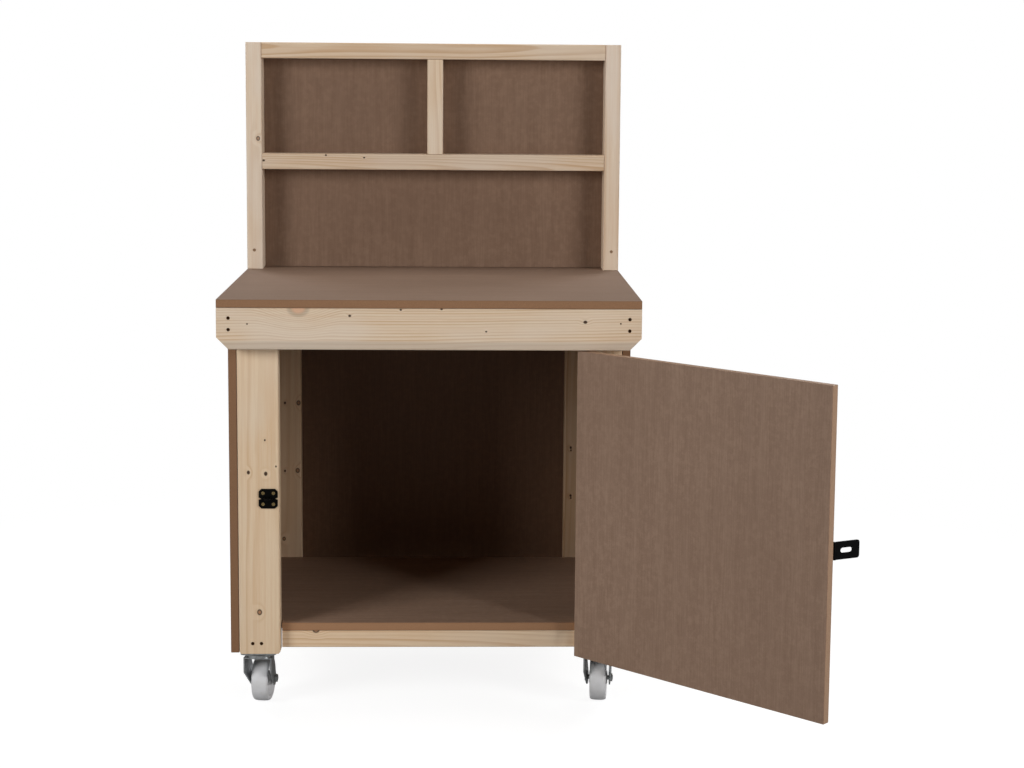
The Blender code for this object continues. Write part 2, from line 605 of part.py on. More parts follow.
def caster_fork(name, parent, zinc):
    """Pressed fork: crown, two tapering cheeks that run back to the axle, and the lower swivel dish."""
    outline = [(-FORK_LEAD, CROWN_TOP), (-FORK_LEAD, FORK_BREAK)]
    outline += arc((CASTER_TRAIL, WHEEL_RADIUS), FORK_BOSS, *FORK_BOSS_ARC, 8)
    outline += [(FORK_TAIL, FORK_TAIL_HEIGHT), (FORK_TAIL, CROWN_TOP)]
    half = FORK_WIDTH / 2
    fork = finish(name, draw_in(prism(outline, "X", (-half, half))), zinc, parent, smooth=30)
    channel = half - FORK_SHEET
    length = (-FORK_LEAD - OVERRUN, CASTER_TRAIL + FORK_BOSS + OVERRUN)
    hollow = prism(rectangle(length, (0.0, CROWN_TOP - FORK_SHEET)), "X", (-channel, channel))
    combine(fork, draw_in(hollow), "DIFFERENCE")
    inner, outer = DISH_RADII
    start = CROWN_TOP - FORK_SHEET / 3
    dish = turned([(inner, start), (outer, start), (outer, DISH_TOP), (inner, DISH_TOP)], 20, "Z")
    combine(fork, dish, "UNION")
    bores = bmesh.new()
    add_cylinder(bores, (0, 0), "Z", KINGPIN_BORE, (CROWN_TOP - FORK_SHEET - OVERRUN, DISH_TOP), 12)
    add_cylinder(bores, (CASTER_TRAIL, WHEEL_RADIUS), "X", AXLE_RADIUS + GAP, (-FORK_WIDTH, FORK_WIDTH), 16)
    combine(fork, bores, "DIFFERENCE")


def caster_wheel(name, parent, nylon):
    """Turned wheel round its own axle: bore, wide hub, thin web and crowned tread."""
    tread = TREAD_WIDTH / 2
    hub = HUB_WIDTH / 2
    half_profile = [(AXLE_RADIUS + AXLE_PLAY, hub), (HUB_RADIUS, hub), (WEB_RADII[0], WEB_HALF),
                    (WEB_RADII[1], WEB_HALF), (RIM_RADIUS, tread)]
    half_profile += [(radius, tread - drawn) for radius, drawn in SHOULDER]
    profile = half_profile + [(radius, -length) for radius, length in reversed(half_profile)]
    finish(name, turned(profile, WHEEL_SIDES, "X"), nylon, parent, smooth=30)


def caster_axle(name, parent, zinc):
    """Bolt through both cheeks, its hexagon head on the left and a separate nut on the right."""
    face = FORK_WIDTH / 2 - cheek_inset(CASTER_TRAIL - HEXAGON_RADIUS) + GAP
    shank = bmesh.new()
    add_cylinder(shank, (0, 0), "X", AXLE_RADIUS, (-face - BOLT_HEAD / 2, face + NUT_LENGTH + BOLT_END), 16)
    bolt = finish(name + "_axle_bolt", shank, zinc, parent, smooth=30)
    head = bmesh.new()
    add_cylinder(head, (0, 0), "X", HEXAGON_RADIUS, (-face - BOLT_HEAD, -face), 6)
    combine(bolt, head, "UNION")
    block = bmesh.new()
    add_cylinder(block, (0, 0), "X", HEXAGON_RADIUS, (face, face + NUT_LENGTH), 6)
    nut = finish(name + "_axle_nut", block, zinc, parent, smooth=30)
    bore = bmesh.new()
    add_cylinder(bore, (0, 0), "X", AXLE_RADIUS + GAP, (0.0, FORK_WIDTH), 16)
    combine(nut, bore, "DIFFERENCE")


def build_casters(bench, zinc, nylon):
    front_y = FRONT_LEG_FACE + KINGPIN_INSET
    rear_y = BENCH_DEPTH - TIMBER - KINGPIN_INSET
    kingpin_x = (LEG_INNER + LEG_OUTER) / 2 + CASTER_OUTSET
    for end, y in (("front", front_y), ("rear", rear_y)):
        for side, side_name in ((-1, "left"), (1, "right")):
            name = f"{end}_{side_name}_caster"
            seat = empty(name + "_seat", bench, (side * kingpin_x, y, 0))
            swivel = empty(name + "_swivel_axis", seat, turn=CASTER_SWIVEL)
            roll = empty(name + "_wheel_axis", swivel, (0, CASTER_TRAIL, WHEEL_RADIUS))
            caster_plate(name + "_plate", seat, zinc)
            caster_kingpin(name + "_kingpin", seat, zinc)
            caster_fork(name + "_fork", swivel, zinc)
            caster_axle(name, roll, zinc)
            caster_wheel(name + "_wheel", roll, nylon)


def stand_on_origin(bench):
    """Move the whole bench so that its bounding box stands centred on the origin."""
    bpy.context.view_layer.update()
    depsgraph = bpy.context.evaluated_depsgraph_get()
    places = []
    for made in bpy.data.objects:
        if made.type in {"MESH", "CURVE"} and not made.hide_render:
            shape = made.evaluated_get(depsgraph)
            places += [made.matrix_world @ vertex.co for vertex in shape.to_mesh().vertices]
            shape.to_mesh_clear()
    bench.location.x = -(min(place.x for place in places) + max(place.x for place in places)) / 2
    bench.location.y = -(min(place.y for place in places) + max(place.y for place in places)) / 2


def main():
    for old in list(bpy.data.objects):
        bpy.data.objects.remove(old, do_unlink=True)
    pine = material("pine", (0.62, 0.47, 0.31), 0.62)
    mdf = material("mdf", (0.22, 0.13, 0.085), 0.75)
    black_steel = material("black_steel", (0.012, 0.012, 0.013), 0.42, 0.3)
    zinc = material("zinc", (0.30, 0.31, 0.31), 0.38, 1.0)
    nylon = material("nylon", (0.66, 0.66, 0.65), 0.45)

    bench = empty("potting_bench")
    build_upper_frame(bench, pine, mdf)
    build_legs(bench, pine)
    build_lower_frame(bench, pine)
    build_cupboard(bench, mdf)
    build_hutch(bench, pine, mdf)
    door_axis = empty("door_axis", bench, (HINGE_X, HINGE_Y, 0), DOOR_OPEN_ANGLE)
    build_door(door_axis, mdf)
    build_hinges(bench, door_axis, black_steel)
    build_hasp(door_axis, black_steel)
    build_staple(bench, black_steel)
    build_casters(bench, zinc, nylon)
    stand_on_origin(bench)


main()
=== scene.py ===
"""The potting bench's looks: materials, fine pieces, studio and camera round the CAD model."""
import json
import math
import random

import bmesh
import bpy
from mathutils import Matrix, Vector


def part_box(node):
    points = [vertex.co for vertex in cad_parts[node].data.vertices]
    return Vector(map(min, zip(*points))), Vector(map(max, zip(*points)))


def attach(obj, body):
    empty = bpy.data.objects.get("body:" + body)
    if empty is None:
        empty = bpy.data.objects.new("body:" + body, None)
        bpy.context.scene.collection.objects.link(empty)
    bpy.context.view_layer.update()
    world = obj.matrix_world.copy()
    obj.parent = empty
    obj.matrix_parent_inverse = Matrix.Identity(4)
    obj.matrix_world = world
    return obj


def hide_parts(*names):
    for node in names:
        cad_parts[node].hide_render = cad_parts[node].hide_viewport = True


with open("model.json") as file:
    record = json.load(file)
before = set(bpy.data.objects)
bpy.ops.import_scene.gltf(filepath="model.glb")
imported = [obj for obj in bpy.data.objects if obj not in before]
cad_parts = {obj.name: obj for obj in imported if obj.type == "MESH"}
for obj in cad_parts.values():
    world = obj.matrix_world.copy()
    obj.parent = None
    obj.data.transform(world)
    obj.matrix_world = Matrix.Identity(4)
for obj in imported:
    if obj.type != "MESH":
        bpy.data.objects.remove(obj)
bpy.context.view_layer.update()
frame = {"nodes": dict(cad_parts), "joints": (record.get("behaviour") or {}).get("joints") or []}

# ---------------------------------------------------------------- places on the bench (m)
RAIL_LOW, RAIL_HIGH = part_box("front_rail")
MIDDLE_X = (RAIL_LOW.x + RAIL_HIGH.x) / 2
FRONT_Y = RAIL_LOW.y
JOINTS = {joint["name"]: joint for joint in frame["joints"]}

X_AXIS, Y_AXIS, Z_AXIS = 0, 1, 2
CASTER_TURN = -6.5              # degrees the casters are swivelled
DOOR_TURN = 136.0               # degrees the door stands open
HINGE = Vector(JOINTS["door_hinge"]["pos_m"])
DOOR_OPEN = (Matrix.Translation(HINGE) @ Matrix.Rotation(math.radians(DOOR_TURN), 4, "Z")
             @ Matrix.Translation(-HINGE))


def on_bench(x, y, z):
    """A point given from the bench's middle, its front face and the floor."""
    return Vector((MIDDLE_X + x, FRONT_Y + y, z))


def turned_back(point, pivot, degrees):
    """A point of a part that stands turned about a vertical axis, as if it stood square."""
    return Matrix.Rotation(math.radians(-degrees), 3, "Z") @ (point - pivot) + pivot


# ---------------------------------------------------------------- shader building
def linear(red, green, blue):
    """The linear colour of an 8-bit display colour."""
    return tuple(((channel / 255 + 0.055) / 1.055) ** 2.4 if channel > 10 else channel / 3294.6
                 for channel in (red, green, blue)) + (1.0,)


class Shader:
    """One material under construction; each call adds a node and gives its output."""

    def __init__(self, name):
        self.material = bpy.data.materials.new(name)
        self.material.use_nodes = True
        self.tree = self.material.node_tree
        self.tree.nodes.clear()
        self.surface = self.tree.nodes.new("ShaderNodeBsdfPrincipled")
        self.output = self.tree.nodes.new("ShaderNodeOutputMaterial")
        self.tree.links.new(self.surface.outputs[0], self.output.inputs[0])
        self.texture = self.tree.nodes.new("ShaderNodeTexCoord")

    def feed(self, socket, value):
        """Link a socket to another node's output, or give it a plain value."""
        if isinstance(value, bpy.types.NodeSocket):
            self.tree.links.new(value, socket)
        else:
            socket.default_value = value

    def set(self, **values):
        """Feed the surface's sockets, named with underscores for spaces."""
        for name, value in values.items():
            self.feed(self.surface.inputs[name.replace("_", " ")], value)

    def math(self, operation, *values):
        node = self.tree.nodes.new("ShaderNodeMath")
        node.operation = operation
        for socket, value in zip(node.inputs, values):
            self.feed(socket, value)
        return node.outputs[0]

    def vector(self, operation, *values):
        node = self.tree.nodes.new("ShaderNodeVectorMath")
        node.operation = operation
        for socket, value in zip(node.inputs, values):
            self.feed(socket, value)
        return node.outputs["Value" if operation == "LENGTH" else "Vector"]

    def split(self, value):
        node = self.tree.nodes.new("ShaderNodeSeparateXYZ")
        self.feed(node.inputs[0], value)
        return list(node.outputs)

    def join(self, *values):
        node = self.tree.nodes.new("ShaderNodeCombineXYZ")
        for socket, value in zip(node.inputs, values):
            self.feed(socket, value)
        return node.outputs[0]

    def noise(self, where, scale, seed=0.0, detail=2.0, roughness=0.5):
        """Three independent noises, each about 0.5, as a vector."""
        node = self.tree.nodes.new("ShaderNodeTexNoise")
        node.noise_dimensions = "4D"
        for name, value in (("Vector", where), ("W", seed), ("Scale", scale),
                            ("Detail", detail), ("Roughness", roughness)):
            self.feed(node.inputs[name], value)
        return node.outputs["Color"]

    def grey_noise(self, where, scale, seed=0.0, detail=2.0, roughness=0.5):
        return self.split(self.noise(where, scale, seed, detail, roughness))[0]

    def step(self, value, start, end, low=0.0, high=1.0):
        """low before start, high after end, and a smooth passage between."""
        node = self.tree.nodes.new("ShaderNodeMapRange")
        node.interpolation_type = "SMOOTHSTEP"
        for socket, fed in zip(node.inputs[:5], (value, start, end, low, high)):
            self.feed(socket, fed)
        return node.outputs[0]

    def mix(self, factor, first, second, blend="MIX"):
        node = self.tree.nodes.new("ShaderNodeMix")
        node.data_type = "RGBA"
        node.blend_type = blend
        for index, value in ((0, factor), (6, first), (7, second)):
            self.feed(node.inputs[index], value)
        return node.outputs[2]

    def rotate(self, where, pivot, degrees):
        """A point or direction turned about the vertical through the pivot."""
        if not degrees:
            return where
        node = self.tree.nodes.new("ShaderNodeVectorRotate")
        node.rotation_type = "Z_AXIS"
        self.feed(node.inputs["Vector"], where)
        self.feed(node.inputs["Center"], tuple(pivot))
        self.feed(node.inputs["Angle"], math.radians(degrees))
        return node.outputs[0]

    def bump(self, height, strength, distance):
        node = self.tree.nodes.new("ShaderNodeBump")
        for name, value in (("Height", height), ("Strength", strength), ("Distance", distance)):
            self.feed(node.inputs[name], value)
        self.tree.links.new(node.outputs[0], self.surface.inputs["Normal"])


def total(shader, values):
    """The sum of several outputs."""
    result = values[0]
    for value in values[1:]:
        result = shader.math("ADD", result, value)
    return result


# ---------------------------------------------------------------- pine
PINE_EARLY = linear(227, 207, 182)
PINE_LATE = linear(198, 163, 126)
PINE_WARM = linear(214, 178, 142)
PINE_PALE = linear(226, 213, 198)
PINE_END = linear(198, 166, 130)
PINE_END_LATE = linear(170, 130, 94)
KNOT_CORE = linear(150, 98, 62)
KNOT_PALE = linear(216, 168, 134)
KNOT_RIM = linear(42, 22, 10)
RING_SPACING = 0.0046
WANDER = 0.020                  # how far the pith strays from a straight line
PIN_KNOT = 0.0034               # knots up to this radius are dark all over
LARGE_KNOT = 0.010              # and those above this one are pale, with a faint rim
FOOT_GREY = linear(188, 172, 155)


def knot_marks(shader, along, across, knots):
    """Core, pale, rim and grain-flow masks of knots given as (along, across, radius).

    Pin knots are dark all over, knots of middling size have a dark rim, and large ones are pale.
    """
    cores, pales, rims, flows = [], [], [], []
    for place_along, place_across, radius in knots:
        large = radius > LARGE_KNOT
        step_along = shader.math("MULTIPLY", shader.math("SUBTRACT", along, place_along), 0.8)
        step_across = shader.math("SUBTRACT", across, place_across)
        away = shader.vector("LENGTH", shader.join(step_along, step_across, 0.0))
        (pales if large else cores).append(shader.step(away, radius * 0.5, radius, 0.75, 0.0))
        rim = shader.step(away, radius * 0.95, radius * 1.35, 0.25 if large else 0.9, 0.0)
        if radius > PIN_KNOT:
            hollow = shader.step(away, radius * 0.45, radius * 0.85)
            rim = shader.math("MULTIPLY", rim, hollow)
        rims.append(rim)
        flows.append(shader.step(away, 0.0, radius * 5.0, radius * 1.4, 0.0))
    return [total(shader, masks) if masks else None for masks in (cores, pales, rims, flows)]


def pine(node, grain, seed, pith, tilt=0.0, knots=(), face=Y_AXIS, grey_below=None,
         tint_and_painted_light=None):
    """Planed softwood: rings round a wandering pith, streaks, knots and end grain.

    Knots are (along, across, radius) from the timber's low corner, seen on the face that looks
    along the given axis.  grey_below is a height above the low side under which the face is grey,
    and the last argument multiplies this timber's colour against the rest; on the rear left leg
    its lighter value is painted light.
    """
    low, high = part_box(node)
    cross = [axis for axis in (X_AXIS, Y_AXIS, Z_AXIS) if axis != grain]
    shader = Shader("pine_" + node)
    place = shader.split(shader.vector("SUBTRACT", shader.texture.outputs["Object"], tuple(low)))
    along, first, second = place[grain], place[cross[0]], place[cross[1]]

    bend = shader.join(shader.math("MULTIPLY", along, 1.3),
                       shader.math("MULTIPLY", first, 5.0),
                       shader.math("MULTIPLY", second, 5.0))
    wander = shader.split(shader.noise(bend, 1.0, seed, 2.0))
    stray = [shader.math("MULTIPLY", shader.math("SUBTRACT", part, 0.5), WANDER)
             for part in wander[:2]]
    slope = shader.math("MULTIPLY", along, tilt)
    from_pith = [shader.math("ADD", shader.math("SUBTRACT", first, pith[0]),
                             shader.math("ADD", stray[0], slope)),
                 shader.math("ADD", shader.math("SUBTRACT", second, pith[1]), stray[1])]
    radius = shader.vector("LENGTH", shader.join(from_pith[0], from_pith[1], 0.0))
    fibres = shader.join(shader.math("MULTIPLY", along, 0.03), first, second)
    waver = shader.grey_noise(fibres, 160.0, seed + 3.0, 1.0)
    radius = shader.math("ADD", radius, shader.math("MULTIPLY", waver, 0.0011))
    if knots:
        across_axis = [axis for axis in cross if axis != face][0]
        core, pale, rim, flow = knot_marks(shader, along, place[across_axis], knots)
        radius = shader.math("ADD", radius, flow)

    turns = shader.math("DIVIDE", radius, RING_SPACING)
    ring = shader.math("FRACT", turns)
    late = shader.math("SUBTRACT", shader.step(ring, 0.35, 0.86), shader.step(ring, 0.90, 1.0))
    season = shader.grey_noise(shader.join(turns, 0.0, 0.0), 0.9, seed, 1.0)
    strength = shader.step(season, 0.35, 0.65, 0.22, 0.85)
    late = shader.math("MULTIPLY", late, strength)

    colour = shader.mix(late, PINE_EARLY, PINE_LATE)
    streak_place = shader.join(shader.math("MULTIPLY", along, 0.012), first, second)
    streaks = shader.grey_noise(streak_place, 210.0, seed + 7.0, 3.0, 0.6)
    colour = shader.mix(shader.step(streaks, 0.36, 0.70, 0.0, 0.42), colour, PINE_WARM)
    fine = shader.grey_noise(fibres, 900.0, seed + 11.0, 2.0, 0.6)
    colour = shader.mix(shader.step(fine, 0.30, 0.72, 0.0, 0.20), colour, PINE_LATE)
    patch_place = shader.join(shader.math("MULTIPLY", along, 0.35), first, second)
    patches = shader.grey_noise(patch_place, 9.0, seed + 17.0, 2.0)
    colour = shader.mix(shader.step(patches, 0.42, 0.66, 0.0, 0.40), colour, PINE_PALE)
    if grey_below is not None:
        edge = shader.math("ADD", place[Z_AXIS], shader.math("MULTIPLY", waver, 0.006))
        grey = shader.step(edge, grey_below, grey_below + 0.008, 0.62, 0.0)
        colour = shader.mix(grey, colour, FOOT_GREY)
    if knots:
        for mask, shade in ((core, KNOT_CORE), (pale, KNOT_PALE), (rim, KNOT_RIM)):
            if mask is not None:
                colour = shader.mix(mask, colour, shade)

    facing = shader.math("ABSOLUTE", shader.split(shader.texture.outputs["Normal"])[grain])
    end = shader.step(facing, 0.80, 0.97)
    pores = shader.grey_noise(shader.join(first, second, along), 1500.0, seed, 2.0, 0.7)
    end_colour = shader.mix(shader.step(pores, 0.35, 0.65, 0.0, 0.45), PINE_END, PINE_LATE)
    end_colour = shader.mix(shader.math("MULTIPLY", late, 0.8), end_colour, PINE_END_LATE)
    colour = shader.mix(end, colour, end_colour)
    # the tint multiplies the whole timber's colour; on the rear left leg it is painted light
    if tint_and_painted_light:
        colour = shader.mix(1.0, colour, (*tint_and_painted_light, 1.0), "MULTIPLY")

    shader.set(Base_Color=colour, Roughness=shader.step(late, 0.0, 1.0, 0.60, 0.48),
               Specular_IOR_Level=0.32)
    relief = total(shader, [shader.math("MULTIPLY", part, weight)
                            for part, weight in ((late, 0.5), (fine, 0.7), (streaks, 0.5))])
    shader.bump(relief, 0.30, 0.00035)
    return shader.material


# ---------------------------------------------------------------- MDF
MDF_FACE = linear(140, 113, 94)
MDF_LIGHT = linear(156, 129, 109)
MDF_DARK = linear(118, 92, 74)
# a light grey laid over the worktop, partly dust and partly painted sheen
MDF_DUST_AND_SHEEN = linear(170, 150, 134)
MDF_EDGE = linear(153, 114, 82)
MDF_EDGE_DARK = linear(112, 80, 56)


def mdf(node, thickness, streak, seed, dust_and_sheen=0.0, tint_and_painted_light=None, edge_shade=MDF_EDGE,
        turn=0.0, pivot=Vector()):
    """Sanded fibreboard: matted fibre on the faces, coarser and redder at the sawn edges.

    The board is thin along the thickness axis and sanded along the streak axis, both read
    after the board has been turned back about the pivot.
    """
    corners = [turned_back(vertex.co, pivot, turn)
               for vertex in frame["nodes"][node].data.vertices]
    near = min(corner[thickness] for corner in corners)
    far = max(corner[thickness] for corner in corners)
    shader = Shader("mdf_" + node)
    place = shader.rotate(shader.texture.outputs["Object"], pivot, -turn)
    normal = shader.rotate(shader.texture.outputs["Normal"], Vector(), -turn)
    parts = shader.split(place)
    fibre = shader.grey_noise(place, 620.0, seed, 3.0, 0.75)
    mottle = shader.grey_noise(place, 75.0, seed + 5.0, 3.0, 0.6)
    cloud = shader.grey_noise(place, 3.2, seed + 9.0, 2.0)
    stretched = [shader.math("MULTIPLY", part, 0.04 if axis == streak else 1.0)
                 for axis, part in enumerate(parts)]
    bands = shader.grey_noise(shader.join(*stretched), 60.0, seed + 13.0, 2.0, 0.6)
    lines = shader.grey_noise(shader.join(*stretched), 330.0, seed + 15.0, 2.0, 0.6)
    colour = shader.mix(shader.step(fibre, 0.36, 0.66, 0.0, 0.50), MDF_FACE, MDF_DARK)
    colour = shader.mix(shader.step(mottle, 0.40, 0.66, 0.0, 0.46), colour, MDF_LIGHT)
    colour = shader.mix(shader.step(bands, 0.38, 0.68, 0.0, 0.30), colour, MDF_LIGHT)
    colour = shader.mix(shader.step(lines, 0.40, 0.62, 0.0, 0.26), colour, MDF_DARK)
    colour = shader.mix(shader.step(cloud, 0.35, 0.68, 0.0, 0.22), colour, MDF_DARK)
    # a light grey film, partly dust and partly painted sheen
    if dust_and_sheen:
        colour = shader.mix(dust_and_sheen, colour, MDF_DUST_AND_SHEEN)

    depth = shader.math("ABSOLUTE", shader.math("SUBTRACT", parts[thickness], (near + far) / 2))
    layer = shader.math("DIVIDE", depth, (far - near) / 2)
    chips = shader.grey_noise(place, 1100.0, seed + 21.0, 3.0, 0.7)
    edge_colour = shader.mix(shader.step(chips, 0.34, 0.66, 0.0, 0.5), edge_shade, MDF_EDGE_DARK)
    edge_colour = shader.mix(shader.step(layer, 0.70, 1.0, 0.0, 0.6), edge_colour, MDF_EDGE_DARK)
    facing = shader.math("ABSOLUTE", shader.split(normal)[thickness])
    edge = shader.step(facing, 0.35, 0.80, 1.0, 0.0)
    colour = shader.mix(edge, colour, edge_colour)
    # the tint multiplies the whole board's colour: painted light on the cupboard floor and door,
    # painted shade on the cupboard and hutch backs
    if tint_and_painted_light:
        colour = shader.mix(1.0, colour, (*tint_and_painted_light, 1.0), "MULTIPLY")
    shader.set(Base_Color=colour, Roughness=shader.step(mottle, 0.2, 0.8, 0.56, 0.72),
               Specular_IOR_Level=0.34)
    coarse = shader.math("MULTIPLY", shader.math("MULTIPLY", chips, edge), 2.5)
    shader.bump(shader.math("ADD", shader.math("MULTIPLY", fibre, 0.8), coarse), 0.22, 0.0003)
    return shader.material


# ---------------------------------------------------------------- metals and nylon
JAPANNED = linear(5, 5, 5)
JAPANNED_THIN = linear(28, 26, 24)
ZINC_DULL = linear(158, 162, 163)
ZINC_BRIGHT = linear(184, 187, 188)
ZINC_GRIME = linear(118, 117, 112)
NYLON_CLEAN = linear(226, 226, 228)
NYLON_DUSTY = linear(208, 207, 205)
NYLON_SCUFFED = linear(168, 164, 158)


def black_steel():
    """Black japanned steel: a slight orange peel, and thin spots that show the steel."""
    shader = Shader("black_steel")
    place = shader.texture.outputs["Object"]
    peel = shader.grey_noise(place, 700.0, 1.0, 2.0)
    thin = shader.grey_noise(place, 160.0, 2.0, 4.0, 0.7)
    colour = shader.mix(shader.step(thin, 0.62, 0.74, 0.0, 0.35), JAPANNED, JAPANNED_THIN)
    shader.set(Base_Color=colour, Roughness=shader.step(thin, 0.3, 0.7, 0.36, 0.54),
               Metallic=0.0, Specular_IOR_Level=0.07)
    shader.bump(peel, 0.15, 0.0002)
    return shader.material


def zinc_steel():
    """Bright zinc plate on pressed steel, with a faint spangle and grime in its scratches."""
    shader = Shader("zinc_steel")
    place = shader.texture.outputs["Object"]
    spangle = shader.grey_noise(place, 130.0, 4.0, 2.0)
    grime = shader.grey_noise(place, 38.0, 6.0, 4.0, 0.7)
    colour = shader.mix(shader.step(spangle, 0.35, 0.65), ZINC_DULL, ZINC_BRIGHT)
    colour = shader.mix(shader.step(grime, 0.52, 0.75, 0.0, 0.5), colour, ZINC_GRIME)
    shader.set(Base_Color=colour, Roughness=shader.step(grime, 0.3, 0.7, 0.28, 0.46),
               Metallic=1.0)
    shader.bump(shader.grey_noise(place, 480.0, 8.0, 2.0), 0.10, 0.0002)
    return shader.material


def nylon(name, seed):
    """White moulded nylon, scuffed and a little dusty where it has rolled."""
    shader = Shader(name)
    place = shader.texture.outputs["Object"]
    cloud = shader.grey_noise(place, 45.0, seed, 3.0)
    scuff = shader.grey_noise(place, 260.0, seed + 2.0, 4.0, 0.75)
    colour = shader.mix(shader.step(cloud, 0.35, 0.68, 0.0, 0.4), NYLON_CLEAN, NYLON_DUSTY)
    colour = shader.mix(shader.step(scuff, 0.58, 0.72, 0.0, 0.35), colour, NYLON_SCUFFED)
    shader.set(Base_Color=colour, Roughness=shader.step(scuff, 0.3, 0.7, 0.36, 0.56),
               Specular_IOR_Level=0.45)
    shader.bump(scuff, 0.10, 0.0003)
    return shader.material


def screw_metal(name, bright, dull, metallic):
    """Screw steel, rubbed brighter in patches."""
    shader = Shader(name)
    place = shader.texture.outputs["Object"]
    rub = shader.grey_noise(place, 520.0, 12.0, 3.0, 0.6)
    colour = shader.mix(shader.step(rub, 0.38, 0.66), dull, bright)
    shader.set(Base_Color=colour, Roughness=shader.step(rub, 0.3, 0.7, 0.52, 0.36),
               Metallic=metallic, Specular_IOR_Level=0.05)
    shader.bump(rub, 0.12, 0.0001)
    return shader.material


# ---------------------------------------------------------------- mesh building
SMOOTH_ANGLE = 35               # degrees: sharper edges than this stay crisp


def smooth_by_angle(bm, degrees):
    """Shade smooth, but for the edges sharper than the angle."""
    for face in bm.faces:
        face.smooth = True
    for edge in bm.edges:
        edge.smooth = (len(edge.link_faces) == 2
                       and edge.calc_face_angle() < math.radians(degrees))


def piece(name, bm, material, body, turn=Matrix(), replaces=()):
    """Turn a mesh into a named piece that rides on a body."""
    bmesh.ops.transform(bm, matrix=turn, verts=bm.verts)
    bmesh.ops.recalc_face_normals(bm, faces=bm.faces)
    smooth_by_angle(bm, SMOOTH_ANGLE)
    mesh = bpy.data.meshes.new(name)
    bm.to_mesh(mesh)
    bm.free()
    mesh.materials.append(material)
    made = bpy.data.objects.new(name, mesh)
    bpy.context.scene.collection.objects.link(made)
    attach(made, body)
    if replaces:
        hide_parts(*replaces)
    return made


def circle_points(radius, steps):
    """Points round a circle, as (x, y)."""
    return [(radius * math.cos(math.tau * step / steps), radius * math.sin(math.tau * step / steps))
            for step in range(steps)]


def bridge(bm, inner, outer):
    """Faces between two circles of corners; a circle may be one point, repeated."""
    steps = len(inner)
    for step in range(steps):
        after = (step + 1) % steps
        corners = (inner[step], inner[after], outer[after], outer[step])
        bm.faces.new(list(dict.fromkeys(corners)))


def lathe(bm, profile, steps):
    """Turn a closed (radius, height) outline round Z into one closed ring of faces."""
    rings = [[bm.verts.new((x, y, height)) for x, y in circle_points(radius, steps)]
             for radius, height in profile]
    for lower, upper in zip(rings, rings[1:] + rings[:1]):
        bridge(bm, lower, upper)


HEAD_RINGS = 9
HEAD_STEPS = 40
HEAD_DEPTH = 0.0009             # of the recess, and of the head behind its face
HEAD_TAPER = 0.9                # radius at the back of the head, against its rim
DOME_FALL = 0.35                # how much of its rise a head loses at the rim
ARM_HALF_WIDTH, ARM_REACH = 0.000572, 0.60          # reaches are shares of the head's radius
MIDDLE_HALF_WIDTH, MIDDLE_REACH = 0.001045, 0.34


def in_recess(x, y, radius):
    """Whether a point of a head lies in one of the four arms, or in the wider middle."""
    off_arm = min(abs(x), abs(y))
    reach = math.hypot(x, y)
    arm = off_arm < ARM_HALF_WIDTH and reach < radius * ARM_REACH
    middle = off_arm < MIDDLE_HALF_WIDTH and reach < radius * MIDDLE_REACH
    return arm or middle


def cross_head(bm, radius, rise, place, depth):
    """A screw head with a cross recess that looks along the place's local -Z."""
    levels = []
    for ring in range(HEAD_RINGS + 1):
        reach = radius * ring / HEAD_RINGS
        dome = rise * (1.0 - DOME_FALL * (reach / radius) ** 2)
        circle = []
        for x, y in circle_points(reach, HEAD_STEPS) if ring else [(0.0, 0.0)]:
            cut = depth if in_recess(x, y, radius) else 0.0
            circle.append(bm.verts.new(place @ Vector((x, y, cut - dome))))
        levels.append(circle if ring else circle * HEAD_STEPS)
    levels.append([bm.verts.new(place @ Vector((x, y, depth)))
                   for x, y in circle_points(radius * HEAD_TAPER, HEAD_STEPS)])
    for inner, outer in zip(levels, levels[1:]):
        bridge(bm, inner, outer)
    bm.faces.new(levels[-1])


FACES_FRONT = Matrix.Rotation(math.radians(-90), 4, "X")
FACES_REAR = Matrix.Rotation(math.radians(90), 4, "X")
FACES_DOWN = Matrix()


def screws(name, places, facing, material, body, slot, radius, rise, turn=Matrix(),
           depth=HEAD_DEPTH):
    """Cross-headed screws at the given points, each turned to its own angle, as one piece each.

    A head on solid timber keeps its recess shallower than its rise; over a hole it can go deeper.
    """
    for index, place in enumerate(places):
        bm = bmesh.new()
        spin = Matrix.Rotation(random.random() * math.tau, 4, "Z")
        cross_head(bm, radius, rise, Matrix.Translation(place) @ facing @ spin, depth)
        piece(f"{name}_{index + 1}", bm, material, body, turn)


# ---------------------------------------------------------------- casters
AXLE_HEIGHT = 0.050
CASTER_TRAIL = 0.038            # kingpin to axle
WHEEL_STEPS = 96
WHEEL_PROFILE = [               # (radius, distance from the wheel's middle), bore to tread
    (0.0065, 0.0200), (0.0132, 0.0200), (0.0142, 0.0196), (0.0149, 0.0184), (0.0155, 0.0092),
    (0.0162, 0.0068), (0.0176, 0.0058), (0.0345, 0.0052), (0.0368, 0.0062), (0.0380, 0.0092),
    (0.0388, 0.0142), (0.0398, 0.0168), (0.0414, 0.0178), (0.0440, 0.0180), (0.0459, 0.0177),
    (0.0474, 0.0168), (0.0486, 0.0150), (0.0494, 0.0120), (0.0498, 0.0080), (0.0500, 0.0038),
    (0.0500, 0.0),
]
SLEEVE_STEPS = 32
SLEEVE_PROFILE = [(0.0052, -0.0206), (0.0063, -0.0206), (0.0063, 0.0206), (0.0052, 0.0206)]


def along_axle(caster):
    """Places a lathe's Z along the axle of the caster, swivelled as it stands."""
    seat = Vector(JOINTS[f"{caster}_caster_swivel"]["pos_m"])
    turn = Matrix.Rotation(math.radians(CASTER_TURN), 4, "Z")
    axle = Matrix.Translation((0.0, CASTER_TRAIL, AXLE_HEIGHT - seat.z))
    return Matrix.Translation(seat) @ turn @ axle @ Matrix.Rotation(math.radians(90), 4, "Y")


